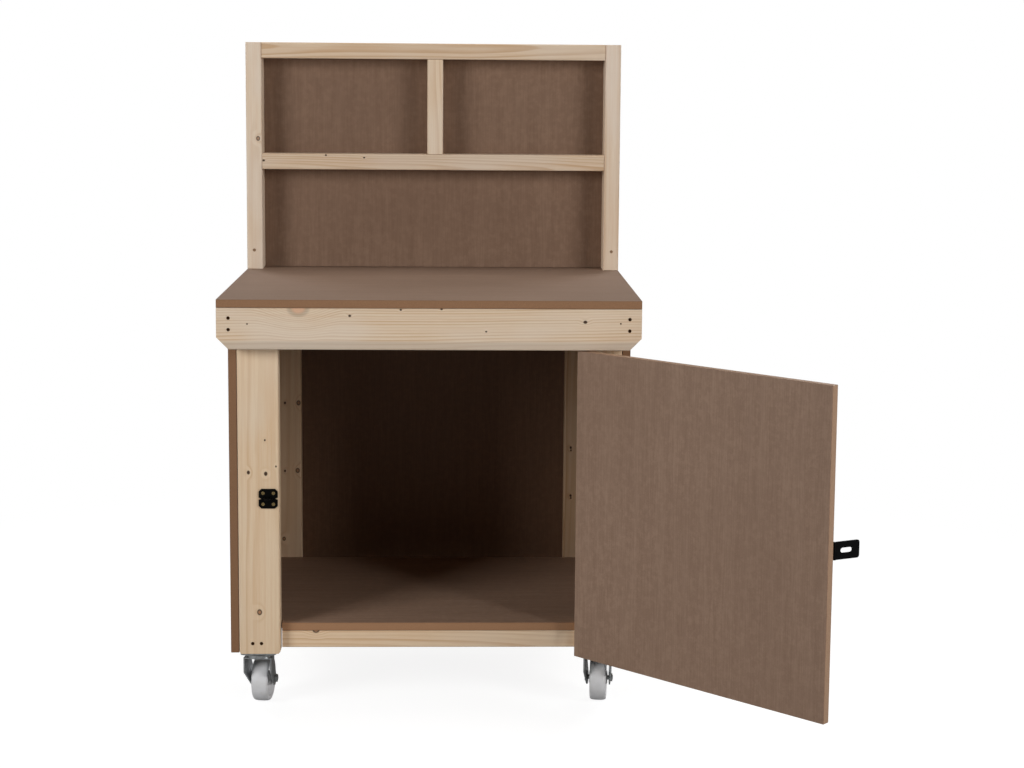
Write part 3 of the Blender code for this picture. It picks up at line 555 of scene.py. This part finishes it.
def wheel(caster, seed, steel):
    """A moulded wheel in place of the faceted one, and the steel sleeve in its hub."""
    body = f"{caster}_caster_wheel"
    mirrored = [(radius, -length) for radius, length in reversed(WHEEL_PROFILE[:-1])]
    bm = bmesh.new()
    lathe(bm, WHEEL_PROFILE + mirrored, WHEEL_STEPS)
    piece(f"{caster}_wheel_moulding", bm, nylon(f"nylon_{caster}", seed), body,
          along_axle(caster), replaces=(f"{caster}_caster_wheel",))
    bm = bmesh.new()
    lathe(bm, SLEEVE_PROFILE, SLEEVE_STEPS)
    piece(f"{caster}_wheel_sleeve", bm, steel, body, along_axle(caster))


# ---------------------------------------------------------------- dress the CAD nodes
WELD_REACH = 0.00001
ROUNDED_ANGLE = 25              # degrees: flatter edges than this stay as they are


def dress(node, material, rounding=0.0):
    """Give a CAD node its material, and a soft rounding along its edges."""
    made = frame["nodes"][node]
    for slot in made.material_slots:
        slot.material = material
    if rounding:
        weld = made.modifiers.new("weld", "WELD")
        weld.merge_threshold = WELD_REACH
        bevel = made.modifiers.new("rounding", "BEVEL")
        bevel.width = rounding
        bevel.segments = 2
        bevel.limit_method = "ANGLE"
        bevel.angle_limit = math.radians(ROUNDED_ANGLE)


TIMBER_ROUNDING = 0.0007
TIMBERS = {
    "front_rail": dict(
        grain=X_AXIS, seed=1.0, pith=(0.075, -0.030), tilt=0.010, grey_below=0.017,
        knots=[(0.1730, 0.0890, 0.0165), (0.2815, 0.0728, 0.0022), (0.3890, 0.0860, 0.0018),
               (0.4750, 0.0877, 0.0018), (0.5695, 0.0402, 0.0016), (0.7794, 0.0612, 0.0030)]),
    "rear_rail": dict(
        grain=X_AXIS, seed=2.0, pith=(-0.050, 0.020), tilt=0.012,
        knots=[(0.2400, 0.0300, 0.0080), (0.6700, 0.0610, 0.0040)]),
    "left_side_rail": dict(
        grain=Y_AXIS, seed=3.0, pith=(-0.060, 0.010), face=X_AXIS,
        knots=[(0.3300, 0.0400, 0.0050)]),
    "right_side_rail": dict(
        grain=Y_AXIS, seed=4.0, pith=(0.090, 0.050), face=X_AXIS,
        knots=[(0.1500, 0.0200, 0.0040), (0.4600, 0.0450, 0.0060)]),
    "front_left_leg": dict(
        grain=Z_AXIS, seed=5.0, pith=(0.060, 0.120), tint_and_painted_light=(1.0, 0.96, 0.89),
        knots=[(0.4018, 0.0232, 0.0030), (0.3991, 0.0603, 0.0033), (0.4725, 0.0589, 0.0017),
               (0.4151, 0.0823, 0.0016), (0.0932, 0.0446, 0.0046)]),
    "front_right_leg": dict(
        grain=Z_AXIS, seed=6.0, pith=(0.030, 0.095), tint_and_painted_light=(1.0, 0.96, 0.89),
        knots=[(0.2500, 0.0300, 0.0040), (0.5600, 0.0620, 0.0060)]),
    # painted light: the rear left leg's lighter tint stands in for the light that reaches it inside
    # the cupboard
    "rear_left_leg": dict(
        grain=Z_AXIS, seed=7.0, pith=(0.035, 0.110), tint_and_painted_light=(1.12, 1.02, 0.90),
        knots=[(0.4507, 0.0500, 0.0024), (0.4509, 0.0830, 0.0044), (0.2812, 0.0490, 0.0022),
               (0.2824, 0.0800, 0.0044), (0.1107, 0.0455, 0.0036)]),
    "rear_right_leg": dict(
        grain=Z_AXIS, seed=8.0, pith=(0.050, 0.100), tint_and_painted_light=(0.80, 0.69, 0.58),
        knots=[(0.3408, 0.0165, 0.0024), (0.3340, 0.0170, 0.0018), (0.2202, 0.0174, 0.0024),
               (0.2140, 0.0180, 0.0018)]),
    "lower_front_rail": dict(
        grain=X_AXIS, seed=9.0, pith=(-0.055, -0.010), tilt=0.010, tint_and_painted_light=(1.06, 1.0, 0.92),
        knots=[(0.0738, 0.0390, 0.0055)]),
    "lower_rear_rail": dict(grain=X_AXIS, seed=10.0, pith=(-0.080, 0.020)),
    "lower_left_rail": dict(
        grain=Y_AXIS, seed=11.0, pith=(0.020, -0.070), face=Z_AXIS,
        knots=[(0.2100, 0.0300, 0.0050)]),
    "lower_right_rail": dict(grain=Y_AXIS, seed=12.0, pith=(0.040, 0.080), face=Z_AXIS),
    "left_upright": dict(
        grain=Z_AXIS, seed=13.0, pith=(0.018, -0.060), tilt=0.006, tint_and_painted_light=(1.0, 1.02, 1.06),
        knots=[(0.3146, 0.0287, 0.0040)]),
    "right_upright": dict(
        grain=Z_AXIS, seed=14.0, pith=(0.020, -0.085), tilt=0.004, tint_and_painted_light=(0.98, 0.99, 1.03)),
    "top_rail": dict(
        grain=X_AXIS, seed=15.0, pith=(-0.040, 0.030), tilt=0.008, tint_and_painted_light=(0.92, 0.89, 0.86)),
    "shelf_rail": dict(
        grain=X_AXIS, seed=16.0, pith=(-0.012, 0.004), tilt=0.022, tint_and_painted_light=(0.90, 0.88, 0.87),
        knots=[(0.0036, 0.0211, 0.0022), (0.1529, 0.0345, 0.0018), (0.2447, 0.0292, 0.0018)]),
    "shelf_divider": dict(grain=Z_AXIS, seed=17.0, pith=(0.010, -0.045), tilt=0.030),
}
BOARD_ROUNDING = 0.0003
BOARDS = {
    # partly dust, partly painted sheen: the worktop's light grey film
    "worktop_board": dict(thickness=Z_AXIS, streak=X_AXIS, seed=31.0, dust_and_sheen=0.10),
    # painted light: the cupboard floor's lighter tint brightens it in place of light
    "cupboard_floor": dict(thickness=Z_AXIS, streak=X_AXIS, seed=32.0, tint_and_painted_light=(1.30, 1.32, 1.34)),
    "left_side_panel": dict(
        thickness=X_AXIS, streak=Z_AXIS, seed=33.0, tint_and_painted_light=(0.82, 0.80, 0.78)),
    "right_side_panel": dict(
        thickness=X_AXIS, streak=Z_AXIS, seed=34.0, tint_and_painted_light=(0.82, 0.80, 0.78)),
    # painted shade: the cupboard back's dark, redder tint stands in for the shade inside the
    # cupboard
    "cupboard_back_panel": dict(
        thickness=Y_AXIS, streak=Z_AXIS, seed=35.0, tint_and_painted_light=(0.62, 0.52, 0.42)),
    # painted shade: the hutch back's darker tint stands in for the shade in the hutch's bays
    "hutch_back_panel": dict(
        thickness=Y_AXIS, streak=Z_AXIS, seed=36.0, tint_and_painted_light=(0.80, 0.76, 0.72)),
    # painted light: the door's lighter tint stands in for light on its inner face
    "door_panel": dict(
        thickness=Y_AXIS, streak=Z_AXIS, seed=37.0, tint_and_painted_light=(1.16, 1.17, 1.18),
        edge_shade=linear(164, 133, 108), turn=DOOR_TURN, pivot=HINGE),
}
BLACK_FITTINGS = ("hinge", "hasp", "staple")    # in the names of the black nodes

random.seed(7)
for timber, look in TIMBERS.items():
    dress(timber, pine(timber, **look), TIMBER_ROUNDING)
for board, look in BOARDS.items():
    dress(board, mdf(board, **look), BOARD_ROUNDING)

BLACK = black_steel()
ZINC = zinc_steel()
DARK_SCREW = screw_metal("dark_screw", linear(62, 38, 20), linear(38, 20, 8), 0.0)
WORN_SCREW = screw_metal("worn_screw", linear(168, 138, 110), linear(128, 100, 76), 0.0)
YELLOW_SCREW = screw_metal("yellow_screw", linear(196, 172, 120), linear(128, 108, 72), 0.9)
for node in frame["nodes"]:
    if node in TIMBERS or node in BOARDS:
        continue
    dress(node, BLACK if any(word in node for word in BLACK_FITTINGS) else ZINC)

CASTERS = ("front_left", "front_right", "rear_left", "rear_right")
FIRST_WHEEL_SEED = 50.0
for index, caster in enumerate(CASTERS):
    wheel(caster, FIRST_WHEEL_SEED + index, ZINC)

# ---------------------------------------------------------------- screws
SEAT_DEPTH = 0.0012             # the heads in the timbers sit in seats this deep
RAIL_SEATS = [(side * 0.4242, z) for side in (-1, 1) for z in (0.8672, 0.8425)]
RAIL_PINS = [(-0.3843, 0.8550), (0.4048, 0.8583)]
FOOT_SEATS = [(side * x, 0.1492) for side in (-1, 1) for x in (0.3827, 0.3638)]
UPRIGHT_SEATS = [(side * 0.4325, 0.9525) for side in (-1, 1)]
HINGE_SCREWS = [(x, row * z) for x, z in ((0.0143, 0.0150), (0.0245, 0.0270))
                for row in (-1, 1)]
HASP_SCREWS = [(x, row * 0.0097) for x in (0.0184, 0.0544) for row in (-1, 1)]
STAPLE_SCREWS = [(x * 0.0112, z * 0.0120) for x in (-1, 1) for z in (-1, 1)]
CASTER_SCREWS = [(x * 0.0300, y * 0.0250) for x in (-1, 1) for y in (-1, 1)]
CASTER_SCREW_Z = 0.1227         # underside of the caster plates
LEAF_FACE = 0.0012              # outer face of a leaf or of the hasp plate, behind its pin

LEG_FRONT_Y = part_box("front_left_leg")[0].y - FRONT_Y
UPRIGHT_FRONT_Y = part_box("left_upright")[0].y - FRONT_Y
REAR_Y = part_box("rear_rail")[1].y - FRONT_Y

SUNK = dict(body="root", slot="black_steel", radius=0.0036, rise=0.0010, depth=0.0005)
PIN_HEAD = dict(body="root", slot="black_steel", radius=0.0017, rise=0.0003, depth=0.0001)
PLATED = dict(slot="black_steel", radius=0.0036, rise=0.0009)
UNDER_STRAP = dict(slot="black_steel", radius=0.0036, rise=0.00025)   # clears the shut strap
CASTER_HEAD = dict(body="root", slot="zinc_steel", radius=0.0045, rise=0.0018)


def on_face(places, y):
    """Points of the bench's front or rear, given as (x, z)."""
    return [on_bench(x, y, z) for x, z in places]


screws("front_rail_screw", on_face(RAIL_SEATS, SEAT_DEPTH), FACES_FRONT, DARK_SCREW, **SUNK)
screws("rear_rail_screw", on_face(RAIL_SEATS, REAR_Y - SEAT_DEPTH), FACES_REAR, DARK_SCREW,
       **SUNK)
screws("foot_screw", on_face(FOOT_SEATS, LEG_FRONT_Y + SEAT_DEPTH), FACES_FRONT, DARK_SCREW,
       **SUNK)
screws("upright_screw", on_face(UPRIGHT_SEATS, UPRIGHT_FRONT_Y + SEAT_DEPTH), FACES_FRONT,
       WORN_SCREW, **SUNK)
screws("rail_pin", on_face(RAIL_PINS, 0.0), FACES_FRONT, DARK_SCREW, **PIN_HEAD)

staple_low, staple_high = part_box("staple_plate")
staple = (staple_low + staple_high) / 2
on_staple = [Vector((staple.x + x, staple_low.y, staple.z + z)) for x, z in STAPLE_SCREWS]
screws("staple_screw", on_staple, FACES_FRONT, YELLOW_SCREW, "root", **UNDER_STRAP)
for level in ("lower", "upper"):
    low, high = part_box(f"{level}_hinge_pin")
    pin = (low + high) / 2
    on_leg = [Vector((pin.x + x, pin.y + LEAF_FACE, pin.z + z)) for x, z in HINGE_SCREWS]
    on_door = [Vector((pin.x - x, pin.y + LEAF_FACE, pin.z + z)) for x, z in HINGE_SCREWS]
    screws(f"{level}_hinge_leg_screw", on_leg, FACES_FRONT, DARK_SCREW, "root", **PLATED)
    screws(f"{level}_hinge_door_screw", on_door, FACES_FRONT, DARK_SCREW, "door", **PLATED,
           turn=DOOR_OPEN)
hasp_pin = turned_back(Vector(JOINTS["hasp_hinge"]["pos_m"]), HINGE, DOOR_TURN)
on_hasp = [hasp_pin + Vector((x, LEAF_FACE, z)) for x, z in HASP_SCREWS]
screws("hasp_screw", on_hasp, FACES_FRONT, DARK_SCREW, "door", **PLATED, turn=DOOR_OPEN)
for caster in CASTERS:
    seat = Vector(JOINTS[f"{caster}_caster_swivel"]["pos_m"])
    on_plate = [Vector((seat.x + x, seat.y + y, CASTER_SCREW_Z)) for x, y in CASTER_SCREWS]
    screws(f"{caster}_caster_screw", on_plate, FACES_DOWN, ZINC, **CASTER_HEAD)

# ---------------------------------------------------------------- studio
FLOOR_RADIUS = 40.0
FLOOR_DROP = 0.0005             # below the wheels, so that the two never share a plane
FLOOR_MIDDLE = on_bench(0.1, 0.2, 0.0)
FADE_START, FADE_END = 0.7, 2.2         # m from the middle
SKY_FILL = 0.02                 # the sky's strength to everything but the camera


def stage_floor():
    """A pale floor that fades to white.

    Only the camera sees it bright, so it throws little light back.
    """
    bm = bmesh.new()
    bmesh.ops.create_circle(bm, cap_ends=True, segments=96, radius=FLOOR_RADIUS)
    mesh = bpy.data.meshes.new("studio_floor")
    bm.to_mesh(mesh)
    bm.free()
    floor = bpy.data.objects.new("studio_floor", mesh)
    floor.location.z = -FLOOR_DROP
    bpy.context.scene.collection.objects.link(floor)
    material = bpy.data.materials.new("studio_floor")
    material.use_nodes = True
    tree = material.node_tree
    shader = tree.nodes["Principled BSDF"]
    shader.inputs["Roughness"].default_value = 0.9
    shader.inputs["Specular IOR Level"].default_value = 0.0
    shader.inputs["Emission Color"].default_value = (1.0, 1.0, 1.0, 1.0)
    path = tree.nodes.new("ShaderNodeLightPath")
    place = tree.nodes.new("ShaderNodeTexCoord")
    away = tree.nodes.new("ShaderNodeVectorMath")
    away.operation = "DISTANCE"
    away.inputs[1].default_value = FLOOR_MIDDLE
    tree.links.new(place.outputs["Object"], away.inputs[0])
    for socket, near, far, unseen in (("Base Color", 0.24, 0.0, 0.50),
                                      ("Emission Strength", 0.88, 1.0, 0.0)):
        fade = tree.nodes.new("ShaderNodeMapRange")
        fade.interpolation_type = "SMOOTHSTEP"
        for name, value in (("From Min", FADE_START), ("From Max", FADE_END),
                            ("To Min", near), ("To Max", far)):
            fade.inputs[name].default_value = value
        tree.links.new(away.outputs["Value"], fade.inputs["Value"])
        blend = tree.nodes.new("ShaderNodeMapRange")
        blend.inputs["To Min"].default_value = unseen
        tree.links.new(fade.outputs[0], blend.inputs["To Max"])
        tree.links.new(path.outputs["Is Camera Ray"], blend.inputs["Value"])
        tree.links.new(blend.outputs[0], shader.inputs[socket])
    mesh.materials.append(material)


def softbox(name, place, target, size, watts):
    """A square area light, hidden from the camera, that faces its target."""
    data = bpy.data.lights.new(name, "AREA")
    data.shape = "SQUARE"
    data.size = size
    data.energy = watts
    lamp = bpy.data.objects.new(name, data)
    lamp.location = place
    lamp.rotation_euler = (target - place).to_track_quat("-Z", "Y").to_euler()
    lamp.visible_camera = False
    bpy.context.scene.collection.objects.link(lamp)


def sky():
    """White to the camera, and a weak even fill to everything else."""
    world = bpy.data.worlds.new("studio")
    world.use_nodes = True
    bpy.context.scene.world = world
    tree = world.node_tree
    background = tree.nodes["Background"]
    background.inputs["Color"].default_value = (1.0, 1.0, 1.0, 1.0)
    path = tree.nodes.new("ShaderNodeLightPath")
    blend = tree.nodes.new("ShaderNodeMapRange")
    blend.inputs["To Min"].default_value = SKY_FILL
    blend.inputs["To Max"].default_value = 1.0
    tree.links.new(path.outputs["Is Camera Ray"], blend.inputs["Value"])
    tree.links.new(blend.outputs[0], background.inputs["Strength"])


# A pinhole camera fitted to the photographed edges
CAMERA_PLACE = on_bench(0.0561494, -4.0311998, 1.3944599)
CAMERA_YAW, CAMERA_PITCH, CAMERA_ROLL = 1.6734, 7.1822, 0.4425          # degrees
CAMERA_LENS = 67.6229           # mm
SENSOR_WIDTH = 36.0             # mm
CAMERA_SHIFT = -0.072           # the picture's middle, below the lens's axis
CLIP_START, CLIP_END = 0.05, 200.0


def camera():
    """The photographer's place, turn and lens, with the picture shifted down."""
    yaw, pitch, roll = (math.radians(turn) for turn in (CAMERA_YAW, CAMERA_PITCH, CAMERA_ROLL))
    forward = Vector((math.sin(yaw) * math.cos(pitch), math.cos(yaw) * math.cos(pitch),
                      -math.sin(pitch)))
    level = Vector((math.cos(yaw), -math.sin(yaw), 0.0))
    above = level.cross(forward)
    right = math.cos(roll) * level + math.sin(roll) * above
    up = math.cos(roll) * above - math.sin(roll) * level
    data = bpy.data.cameras.new("camera")
    data.sensor_width = SENSOR_WIDTH
    data.lens = CAMERA_LENS
    data.shift_y = CAMERA_SHIFT
    data.clip_start = CLIP_START
    data.clip_end = CLIP_END
    made = bpy.data.objects.new("camera", data)
    facing = Matrix((right, up, -forward)).transposed().to_4x4()
    made.matrix_world = Matrix.Translation(CAMERA_PLACE) @ facing
    bpy.context.scene.collection.objects.link(made)
    bpy.context.scene.camera = made


bpy.context.scene.view_settings.view_transform = "Standard"
stage_floor()
sky()
BENCH_MIDDLE = (0.05, 0.3, 0.75)
WORKTOP_MIDDLE = (0.0, 0.4, 0.9)
SOFTBOXES = [                   # name, place, target, width in m, watts
    ("key_left", (-3.75, -2.85, 2.10), BENCH_MIDDLE, 2.0, 132.0),
    ("key_right", (3.75, -2.85, 2.10), BENCH_MIDDLE, 2.0, 126.0),
    ("top", (0.0, 0.6, 3.9), WORKTOP_MIDDLE, 1.4, 42.0),
    ("rear_left", (-2.4, 3.2, 2.0), BENCH_MIDDLE, 1.5, 60.0),
    ("rear_right", (2.4, 3.2, 2.0), BENCH_MIDDLE, 1.5, 60.0),
]
for name, place, target, width, watts in SOFTBOXES:
    softbox(name, on_bench(*place), on_bench(*target), width, watts)
camera()
